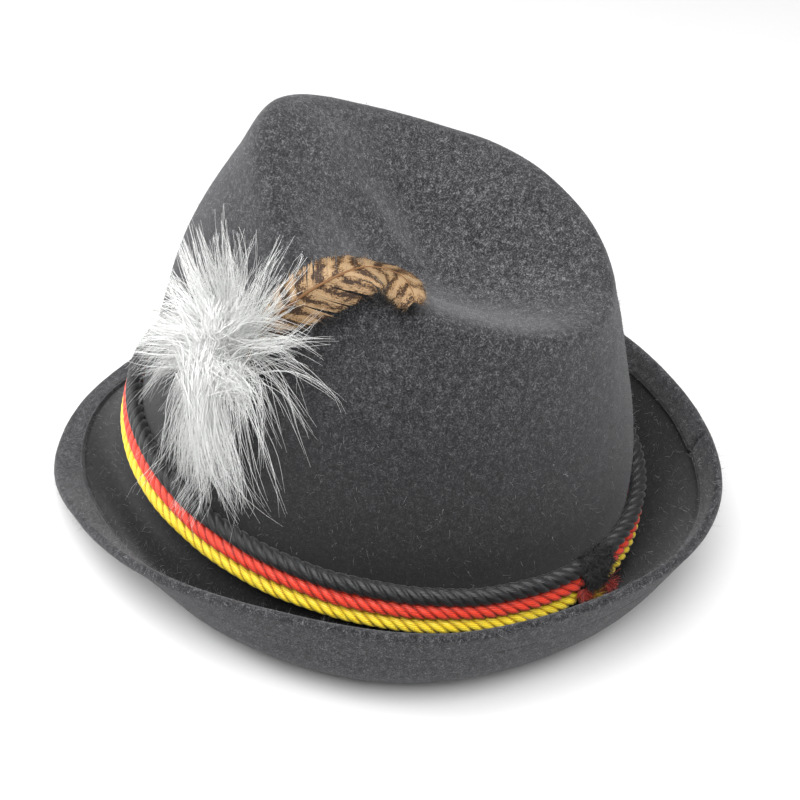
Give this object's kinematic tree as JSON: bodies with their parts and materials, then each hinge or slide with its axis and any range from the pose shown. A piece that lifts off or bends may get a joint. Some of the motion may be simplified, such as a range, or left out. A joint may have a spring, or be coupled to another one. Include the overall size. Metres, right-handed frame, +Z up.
{
  "type": "tyrolean hat",
  "caption": "Grey melange felt alpine hat with a pinched dented crown, turned-up stitched brim, twisted cords and a white plume with a barred feather.",
  "frame": {"origin": "on the surface the hat stands on, under the middle of its bounding box", "axes": "-Y is the front of the hat, +X the wearer's left with the plume, +Z up"},
  "size_m": [0.2188, 0.2792, 0.1746],
  "materials": {
    "felt": "grey melange wool felt",
    "yellow_cord": "satin twisted rayon cord",
    "red_cord": "satin twisted rayon cord",
    "black_cord": "satin twisted rayon cord",
    "plume": "white marabou down",
    "pheasant_feather": "barred brown feather"
  },
  "bodies": {
    "root": {"felt_body": "felt", "yellow_cord": "yellow_cord", "red_cord": "red_cord", "black_cord": "black_cord", "cord_whipping": "black_cord", "plume": "plume", "pheasant_feather": "pheasant_feather"}
  },
  "joints": []
}
